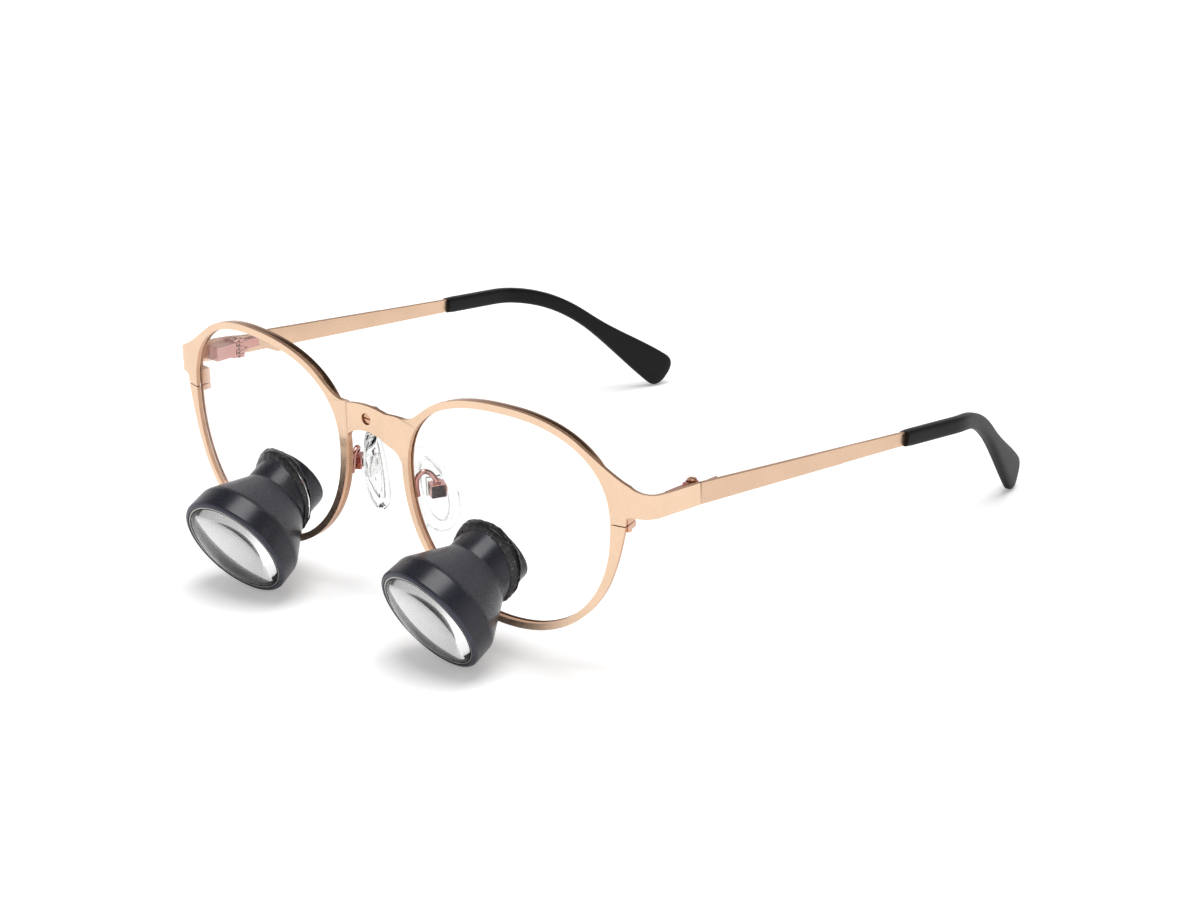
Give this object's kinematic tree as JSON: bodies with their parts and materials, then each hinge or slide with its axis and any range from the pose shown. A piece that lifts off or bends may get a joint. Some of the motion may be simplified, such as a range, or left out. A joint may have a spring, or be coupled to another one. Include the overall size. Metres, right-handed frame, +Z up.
{
  "type": "surgical loupes",
  "caption": "Through-the-lens surgical loupes: short magnifying telescopes bonded into the clear lenses of a slim metal spectacle frame with folding temples and rocking nose pads.",
  "frame": {"origin": "floor under the middle of the footprint, with the loupes standing on the telescope rims and the temple tips", "axes": "+Z up, +Y towards the temple tips, -Y the way the wearer looks, +X the wearer's left"},
  "size_m": [0.1402, 0.1776, 0.0554],
  "materials": {
    "rose_gold_metal": "rose gold, fine satin with polished edges",
    "fittings_metal": "rose gold, polished",
    "barrel_alloy": "dark grey anodised, satin",
    "black_ring": "black anodised",
    "ring_metal": "bare, turned and polished",
    "optical_glass": "polished and coated",
    "clear_lens": "clear, polished",
    "adhesive": "smoky cured resin, glossy and uneven",
    "silicone": "clear",
    "tip_plastic": "black satin"
  },
  "bodies": {
    "front": {"front_plate": "rose_gold_metal", "bridge_screw": "fittings_metal", "bridge_boss": "fittings_metal", "left_eyewire": "rose_gold_metal", "left_carrier_lens": "clear_lens", "left_closing_block_upper": "fittings_metal", "left_closing_block_lower": "fittings_metal", "left_closing_screw": "fittings_metal", "left_barrel": "barrel_alloy", "left_objective_lock_ring": "ring_metal", "left_objective_lens": "optical_glass", "left_eyepiece_lens": "optical_glass", "left_eyepiece_ring": "black_ring", "left_bond_bead": "adhesive", "left_pad_arm": "fittings_metal", "left_pad_screw": "fittings_metal", "left_hinge_front_leaf": "fittings_metal", "left_hinge_screw": "fittings_metal", "right_eyewire": "rose_gold_metal", "right_carrier_lens": "clear_lens", "right_closing_block_upper": "fittings_metal", "right_closing_block_lower": "fittings_metal", "right_closing_screw": "fittings_metal", "right_barrel": "barrel_alloy", "right_objective_lock_ring": "ring_metal", "right_objective_lens": "optical_glass", "right_eyepiece_lens": "optical_glass", "right_eyepiece_ring": "black_ring", "right_bond_bead": "adhesive", "right_pad_arm": "fittings_metal", "right_pad_screw": "fittings_metal", "right_hinge_front_leaf": "fittings_metal", "right_hinge_screw": "fittings_metal"},
    "left_side": {"left_temple": "rose_gold_metal", "left_temple_tip": "tip_plastic", "left_hinge_temple_leaf": "fittings_metal"},
    "right_side": {"right_temple": "rose_gold_metal", "right_temple_tip": "tip_plastic", "right_hinge_temple_leaf": "fittings_metal"},
    "left_pad": {"left_nose_pad": "silicone", "left_pad_core": "clear_lens"},
    "right_pad": {"right_nose_pad": "silicone", "right_pad_core": "clear_lens"}
  },
  "joints": [
    {"name": "left_temple_fold", "type": "hinge", "parent": "front", "child": "left_side", "pos_m": [0.0668, -0.04569, 0.03883], "axis": [0, 0, 1], "range_deg": [0, 90]},
    {"name": "right_temple_fold", "type": "hinge", "parent": "front", "child": "right_side", "pos_m": [-0.0668, -0.04569, 0.03883], "axis": [0, 0, -1], "range_deg": [0, 86.5]},
    {"name": "left_pad_rock", "type": "hinge", "parent": "front", "child": "left_pad", "pos_m": [0.0119, -0.062, 0.0295], "axis": [0.4848, 0.8733, 0.0488], "range_deg": [-10, 10]},
    {"name": "right_pad_rock", "type": "hinge", "parent": "front", "child": "right_pad", "pos_m": [-0.0119, -0.062, 0.0295], "axis": [0.4848, -0.8733, -0.0488], "range_deg": [-10, 10]}
  ]
}
